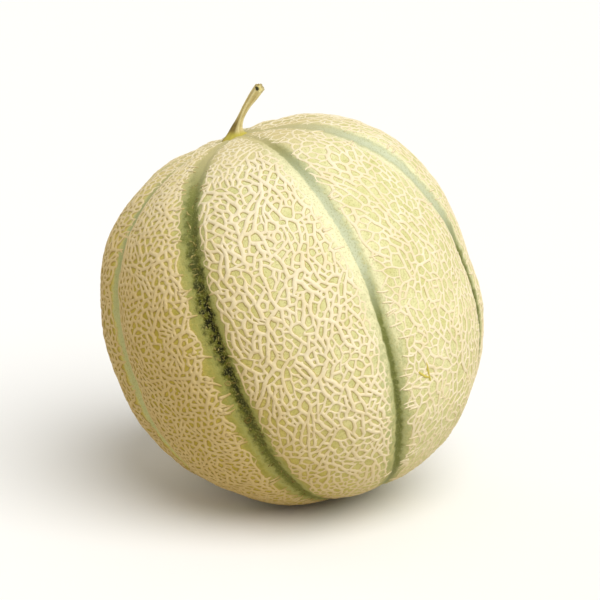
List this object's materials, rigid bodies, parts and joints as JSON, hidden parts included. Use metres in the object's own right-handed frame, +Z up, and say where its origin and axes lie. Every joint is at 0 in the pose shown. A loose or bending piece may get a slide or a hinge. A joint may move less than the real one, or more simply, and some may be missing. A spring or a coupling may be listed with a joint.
{
  "type": "cantaloupe melon",
  "caption": "Whole netted melon with pressed-in seams between its ribs and a short dried stem, resting on a small flat spot.",
  "frame": {"origin": "middle of the flat spot that the fruit rests on", "axes": "+Z up as the melon lies, +X to the right seen from its front along +Y; the fruit's own axis leans 19.8 degrees from +Z towards -X, stem end up"},
  "size_m": [0.1469, 0.1474, 0.1588],
  "materials": {
    "rind": "matte",
    "stem": "matte"
  },
  "bodies": {
    "root": {"melon_fruit": "rind", "stem": "stem"}
  },
  "joints": []
}
